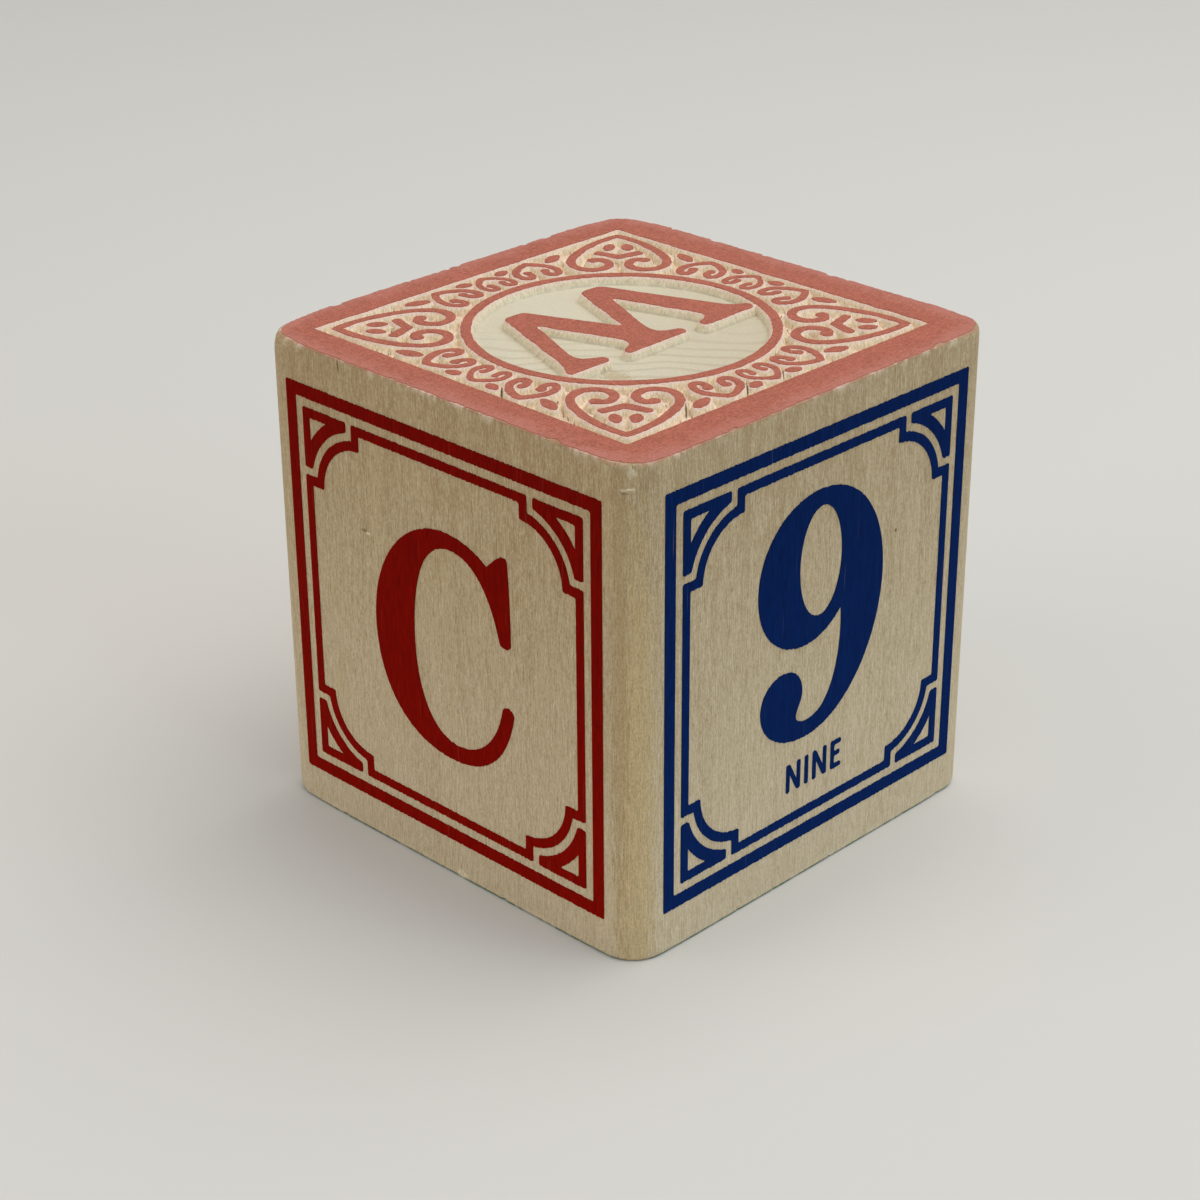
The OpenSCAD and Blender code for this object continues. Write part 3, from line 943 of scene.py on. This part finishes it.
@functools.lru_cache
def print_finish(slot_name):
    """Opaque screen ink over upright fibres, scratched thin along some of them, with painted shade towards
    the top.
    """
    ink = bpy.context.scene.block_ink
    finish, shader, place = blank_finish("print_" + slot_name, PRINT_SPECULAR)
    fine = fibres(place, INK_FIBRE, 1.0)
    broad = fibres(place, INK_BAND)
    scratch = fibres(place, SCRATCH, 1.0)
    height = place.parts()[2] - SIDES["front"].middle[2]
    # Painted shade: the ink darkens towards the top
    tone = 0.40 + fine * 0.9 + broad * 0.3 - height * ink.handled
    colour = toned(paint(getattr(ink, slot_name)), tone)
    colour = mixed(colour, paint(ink.show_through), between(scratch, 0.72, 0.86) * 0.2)
    dress(shader, colour, 0.5 + fine * 0.2, fine, PRINT_BUMP)
    return finish


@functools.lru_cache
def rolled_finish(slot_name):
    """Ink rolled on to end grain: stippled, hatched both ways and rubbed pale towards the edges."""
    ink = bpy.context.scene.block_ink
    finish, shader, place = blank_finish("rolled_" + slot_name, ROLLED_SPECULAR)
    x, y, _ = place.parts()
    stipple = fibres(place, STIPPLE, 1.0)
    cloud = fibres(place, CLOUD, 3.0)
    hatch = fibres(place, HATCH_ACROSS, 0.0) + fibres(place, HATCH_ALONG, 0.0)
    half = SIDES["right"].middle[0]
    corner = between(abs(x) + abs(y), 2 * half - 8.0, 2 * half - 3.5)
    thin = from_axis(place) + cloud * 2.6 + hatch * 1.2 + corner * 0.8
    rubbed = between(thin, half + 0.3, half + 2.7)
    colour = toned(paint(getattr(ink, slot_name)), stipple * 1.1 + hatch * 0.35 + cloud * 0.2)
    colour = mixed(colour, paint(getattr(ink, "rubbed_" + slot_name)), rubbed * 0.5)
    colour = mixed(colour, paint(ink.show_through), between(stipple, 0.62, 0.78) * 0.4)
    dress(shader, colour, 0.55 + stipple * 0.15, stipple + hatch * 0.5, ROLLED_BUMP)
    return finish


# Stage

# Half the width of the floor in metres, and its specular level
FLOOR_HALF = 3.0
FLOOR_SPECULAR = 0.5
# Strength of the light from all round
SKY_STRENGTH = 0.42
# Place that the soft lights face, in metres
LIT_PLACE = (0, 0, 0.02)
# Soft lights: name, place and width in metres, power in watts, colour
SOFTBOXES = (
    ("overhead", (0.10, 0.18, 0.62), 0.6, 2.7, (1.0, 0.98, 0.95)),
    ("front_fill", (-0.35, -0.60, 0.25), 0.5, 1.3, (1.0, 0.97, 0.93)),
    ("right_fill", (0.65, 0.10, 0.25), 0.5, 1.3, (0.78, 0.90, 1.0)),
)
# Width of the camera's sensor in millimetres, and the nearest distance it sees in metres
SENSOR_WIDTH = 36
CLIP_START = 0.01


def fade_into_backdrop(tree, shader, stage, share):
    """Shows the plain backdrop in a shader's place, by share, to the camera and in reflections."""
    rays = Socket(tree, tree.nodes.new("ShaderNodeLightPath").outputs["Is Camera Ray"])
    seen = rays
    for kind in ("Is Glossy Ray", "Is Transmission Ray"):
        seen = seen + rays.grow("ShaderNodeLightPath", output=kind)
    backdrop = rays.grow("ShaderNodeEmission", {}, {"Color": paint(stage.backdrop_colour)})
    lit = Socket(tree, shader.outputs[0])
    either = rays.grow("ShaderNodeMixShader", {}, {0: seen * share, 1: lit, 2: backdrop})
    end = next(node for node in tree.nodes if node.bl_idname.startswith("ShaderNodeOutput"))
    tree.links.new(either.output, end.inputs["Surface"])


def add_floor(stage):
    """A wide plain floor under the block."""
    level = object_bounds()[0][2]
    mesh = bpy.data.meshes.new("floor")
    signs = ((-1, -1), (1, -1), (1, 1), (-1, 1))
    mesh.from_pydata([(FLOOR_HALF * i, FLOOR_HALF * j, level) for i, j in signs], [], [(0, 1, 2, 3)])
    finish, shader, place = blank_finish("floor", FLOOR_SPECULAR)
    shader.inputs["Base Color"].default_value = paint(stage.floor_colour)
    shader.inputs["Roughness"].default_value = 0.9
    share = between(span(place), stage.fade_start / MM, stage.fade_end / MM)
    fade_into_backdrop(place.tree, shader, stage, share)
    mesh.materials.append(finish)
    add_object("floor", mesh)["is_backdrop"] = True


def add_softbox(name, place, size, power, rgb):
    """A square soft light that faces the block."""
    light = bpy.data.lights.new(name, "AREA")
    light.size = size
    light.energy = power
    light.color = paint(rgb)[:3]
    lamp = add_object(name, light)
    lamp.location = place
    lamp.rotation_euler = (Vector(LIT_PLACE) - Vector(place)).to_track_quat("-Z", "Y").to_euler()


def add_lights(stage):
    """An even pale sky, a wide light overhead, a warm one at the front and a cool one on the right."""
    world = bpy.data.worlds.new("studio")
    world.use_nodes = True
    background = world.node_tree.nodes["Background"]
    background.inputs["Color"].default_value = paint(stage.sky_colour)
    background.inputs["Strength"].default_value = SKY_STRENGTH
    fade_into_backdrop(world.node_tree, background, stage, 1.0)
    bpy.context.scene.world = world
    for softbox in SOFTBOXES:
        add_softbox(*softbox)


def add_camera(stage):
    """The camera at the viewing angle of the photograph."""
    lens = bpy.data.cameras.new("camera")
    lens.lens = stage.lens
    lens.sensor_width = SENSOR_WIDTH
    lens.clip_start = CLIP_START
    camera = add_object("camera", lens)
    camera.location = stage.eye
    camera.rotation_mode = "QUATERNION"
    view = (Vector(stage.aim) - Vector(stage.eye)).to_track_quat("-Z", "Y")
    camera.rotation_quaternion = view @ Quaternion((0, 0, 1), stage.roll)
    bpy.context.scene.camera = camera


# Settings


def sized(name, millimetres, description):
    """A length that is written in millimetres."""
    return FloatProperty(
        name=name, description=description, default=millimetres * MM, min=0, precision=5, unit="LENGTH"
    )


def tinted(name, rgb, description):
    """A display colour."""
    return FloatVectorProperty(
        name=name, description=description, default=rgb, size=3, min=0, max=1, subtype="COLOR_GAMMA"
    )


def darkened(per_millimetre, description):
    """A painted shade that darkens towards the top."""
    return FloatProperty(
        name="Painted shade", description=description, default=per_millimetre, min=0, precision=4
    )


def placed(name, metres, description):
    """A place in space."""
    return FloatVectorProperty(
        name=name, description=description, default=metres, size=3, subtype="TRANSLATION", unit="LENGTH"
    )


class WoodSettings(bpy.types.PropertyGroup):
    """Sizes and colours of the wood"""

    column_step: sized("Column step", 0.2, "Spacing of the mesh columns round the block")
    row_step: sized("Row step", 3.7, "Spacing of the mesh rows up the sides")
    outline_step: sized("Outline step", 0.22, "Spacing of points along the edges of the lands")
    fill_step: sized("Fill step", 0.55, "Spacing of points between the outlines of an end")
    edge_wear: sized("Edge wear", 0.06, "Usual radius of the worn edges round both ends")
    chip_depth: sized("Chip depth", 0.28, "How much further the small chips of the edges reach")
    corner_wear: sized("Corner wear", 0.6, "How much further the most worn corner is rounded")
    corner_run: sized("Corner run", 5.5, "How far the wear of a corner runs along its edges")
    press_depth: sized("Press depth", 0.74, "Depth of the pressed ground below the lands")
    wall_run: sized("Wall run", 0.3, "Width of the slope between a land and the ground")
    bare_rim: sized("Bare rim", 0.08, "How far a land stands out round its ink")
    rim_width: sized("Rim width", 0.15, "Width of the rounded rim of a land")
    rim_drop: sized("Rim drop", 0.03, "How far a land's rim is rounded down")
    ground_rough: sized("Ground roughness", 0.06, "Height of the crushed fibres on the ground")
    # Painted shade that darkens the sides towards the top
    handled: darkened(0.0135, "Darkening of the sides towards the top, per millimetre")
    ring_pitch: sized("Growth ring pitch", 1.8, "Distance between growth rings")
    early_colour: tinted("Pale grain", (0.840, 0.775, 0.650), "Pale fibres of the sanded sides")
    amber_colour: tinted("Amber streak", (0.785, 0.675, 0.475), "Warm streak along the near edge")
    streak_colour: tinted("Streaks", (0.700, 0.590, 0.420), "Warm streaks along the grain")
    late_colour: tinted("Dark grain", (0.640, 0.540, 0.390), "Dark fibres and growth lines")
    # Also the painted shade of a dent and the painted shadow under a splinter
    pore_colour: tinted("Pores", (0.430, 0.340, 0.220), "Pores and short cracks")
    # Also the painted highlight of a dent
    bare_colour: tinted("Bare fibres", (0.880, 0.820, 0.700), "Torn and worn pale fibres")
    end_colour: tinted("Pressed ground", (0.915, 0.835, 0.745), "Torn end grain round the ring")
    rim_colour: tinted("Bare rims", (0.930, 0.835, 0.775), "Bare rims of the lands and torn edges")
    disc_colour: tinted("Pressed disc", (0.850, 0.818, 0.728), "Smooth end grain inside the ring")


class InkSettings(bpy.types.PropertyGroup):
    """Sizes and colours of the inks"""

    outline_step: sized("Outline step", 0.08, "Spacing of points along a print's edges")
    tooth_pitch: sized("Tooth pitch", 0.11, "Width of a fibre that draws ink out of a level edge")
    tooth_height: sized("Tooth height", 0.045, "How far a fibre draws the ink")
    land_inset: sized("Land inset", 0.085, "Usual bare rim between a land's edge and its ink")
    edge_inset: sized("Edge inset", 0.09, "Usual bare rim between the block's worn edge and the ink")
    word_height: sized("Word height", 2.75, "Height of the number word's capitals")
    word_drop: sized("Word drop", 2.0, "Gap between the numeral and the number word")
    # Painted shade that darkens the prints towards the top
    handled: darkened(0.0075, "Darkening of the prints towards the top, per millimetre")
    red_ink: tinted("Red", (0.485, 0.038, 0.008), "Red printing ink")
    blue_ink: tinted("Blue", (0.03, 0.13, 0.32), "Blue printing ink")
    green_ink: tinted("Green", (0.13, 0.36, 0.23), "Green printing ink")
    salmon_ink: tinted("Salmon", (0.697, 0.408, 0.338), "Salmon ink of the pressed top")
    rubbed_salmon_ink: tinted("Rubbed salmon", (0.765, 0.525, 0.480), "Salmon ink rubbed thin")
    rubbed_green_ink: tinted("Rubbed green", (0.270, 0.460, 0.340), "Green ink rubbed thin")
    show_through: tinted("Show-through", (0.700, 0.600, 0.470), "Wood that shows through thin ink")


class StageSettings(bpy.types.PropertyGroup):
    """Camera, lights and floor"""

    eye: placed("Eye", (0.14827, -0.15329, 0.12270), "Place of the camera")
    aim: placed("Aim", (-0.00173, -0.00172, 0.01856), "Place in the block that the camera looks at")
    roll: FloatProperty(
        name="Roll", description="Turn of the camera about its view", default=math.radians(-0.39),
        subtype="ANGLE", unit="ROTATION",
    )
    lens: FloatProperty(
        name="Lens", description="Focal length on a 36 mm sensor", default=79.5, min=1, unit="CAMERA"
    )
    floor_colour: tinted("Floor", (0.86, 0.85, 0.83), "Plain pale floor")
    sky_colour: tinted("Sky", (0.93, 0.95, 0.97), "Light from all round")
    backdrop_colour: tinted("Backdrop", (0.81, 0.80, 0.78), "Plain backdrop far behind the block")
    fade_start: sized("Fade start", 250, "Distance at which the floor begins to fade")
    fade_end: sized("Fade end", 900, "Distance at which the floor is the backdrop's colour")


# Operators


class PressWood(bpy.types.Operator):
    """Carves the block with its worn edges and both pressed ends"""

    bl_idname = "alphabet_block.press_wood"
    bl_label = "Press the wood"

    def execute(self, context):
        places, faces = carve_block(context.scene.block_wood)
        finish = hardwood_finish()
        add_piece("pressed_hardwood", places, faces, finish, ["wood_block"], smooth_shade=True)
        return {"FINISHED"}


class PrintSides(bpy.types.Operator):
    """Prints the frames and characters on the four sides"""

    bl_idname = "alphabet_block.print_sides"
    bl_label = "Print the sides"

    def execute(self, context):
        ink = context.scene.block_ink
        for side_name in PRINTED_SIDES:
            side = SIDES[side_name]
            for node, slot_name in films_on(side_name).items():
                loops = []
                for loop in film_loops(node, side):
                    loop = stepped(eased(loop, PRINT_CORNER_CUT), ink.outline_step / MM)
                    loops.append(toothed(loop, side_name, ink))
                thickness = film_thickness(node, side)
                finish = print_finish(slot_name)
                print_film(node + "_print", loops, side_name, thickness, finish, [node])
        return {"FINISHED"}


class InkEnds(bpy.types.Operator):
    """Rolls ink on to the lands of both ends"""

    bl_idname = "alphabet_block.ink_ends"
    bl_label = "Ink the ends"

    def execute(self, context):
        ink = context.scene.block_ink
        for end_name in PRESSED_ENDS:
            end = pressed_end(end_name)
            ragged = wander(end.flat, 0.35, 6.1) + wander(end.flat, 1.7, 8.3)
            land = end.reach - ink.land_inset / MM * np.clip(1 + ragged, *LAND_INSET_RANGE)
            edge = end.edge_reach - ink.edge_inset / MM * np.clip(1 + 1.6 * ragged, *EDGE_INSET_RANGE)
            amount = np.minimum(land, edge)
            for node, slot_name in films_on(end_name).items():
                flat, height, triangles = end_film(end, node, amount)
                thickness = film_thickness(node, end.side)
                places, faces = closed_film(end.side, flat, triangles, height, thickness)
                finish = rolled_finish(slot_name)
                add_piece(node + "_ink", places, faces, finish, [node], smooth_shade=True)
        return {"FINISHED"}


class PrintWord(bpy.types.Operator):
    """Prints the number word under the numeral on the right side"""

    bl_idname = "alphabet_block.print_word"
    bl_label = "Print the number word"

    def execute(self, context):
        ink = context.scene.block_ink
        side = SIDES["right"]
        top = side.flat(box_of("right_numeral_9"))[:, 1].min() - ink.word_drop / MM
        height = ink.word_height / MM
        letters, width = number_word()
        corner = np.array([-width * height / 2 + WORD_SHIFT, top - height])
        loops = []
        for letter in letters:
            loop = eased(corner + letter * height, WORD_CORNER_CUT)
            loops.append(toothed(stepped(loop, ink.outline_step / MM), "right", ink))
        thickness = film_thickness("right_numeral_9", side)
        finish = print_finish("blue_ink")
        print_film("right_number_word", loops, "right", thickness, finish)
        return {"FINISHED"}


class SetStage(bpy.types.Operator):
    """Sets the floor, the lights and the camera"""

    bl_idname = "alphabet_block.set_stage"
    bl_label = "Set the stage"

    def execute(self, context):
        stage = context.scene.block_stage
        add_floor(stage)
        add_lights(stage)
        add_camera(stage)
        context.scene.view_settings.view_transform = "Standard"
        return {"FINISHED"}


class BlockPanel(bpy.types.Panel):
    """Lists the steps that dress the block"""

    bl_idname = "VIEW3D_PT_alphabet_block"
    bl_label = "Alphabet block"
    bl_space_type = "VIEW_3D"
    bl_region_type = "UI"
    bl_category = "Block"

    def draw(self, context):
        for step in STEPS:
            self.layout.operator(step.bl_idname)


STEPS = (PressWood, PrintSides, PrintWord, InkEnds, SetStage)
SETTINGS = {"block_wood": WoodSettings, "block_ink": InkSettings, "block_stage": StageSettings}


def register():
    """Adds the classes and puts the settings on the scene."""
    for group in (*SETTINGS.values(), *STEPS, BlockPanel):
        bpy.utils.register_class(group)
    for name, group in SETTINGS.items():
        setattr(bpy.types.Scene, name, PointerProperty(type=group))


def unregister():
    """Takes away the settings and the classes."""
    for name in SETTINGS:
        delattr(bpy.types.Scene, name)
    for group in (BlockPanel, *STEPS[::-1], *SETTINGS.values()):
        bpy.utils.unregister_class(group)


def main():
    """Dresses the block."""
    register()
    bpy.ops.alphabet_block.press_wood()
    bpy.ops.alphabet_block.print_sides()
    bpy.ops.alphabet_block.print_word()
    bpy.ops.alphabet_block.ink_ends()
    bpy.ops.alphabet_block.set_stage()


if __name__ == "__main__":
    main()
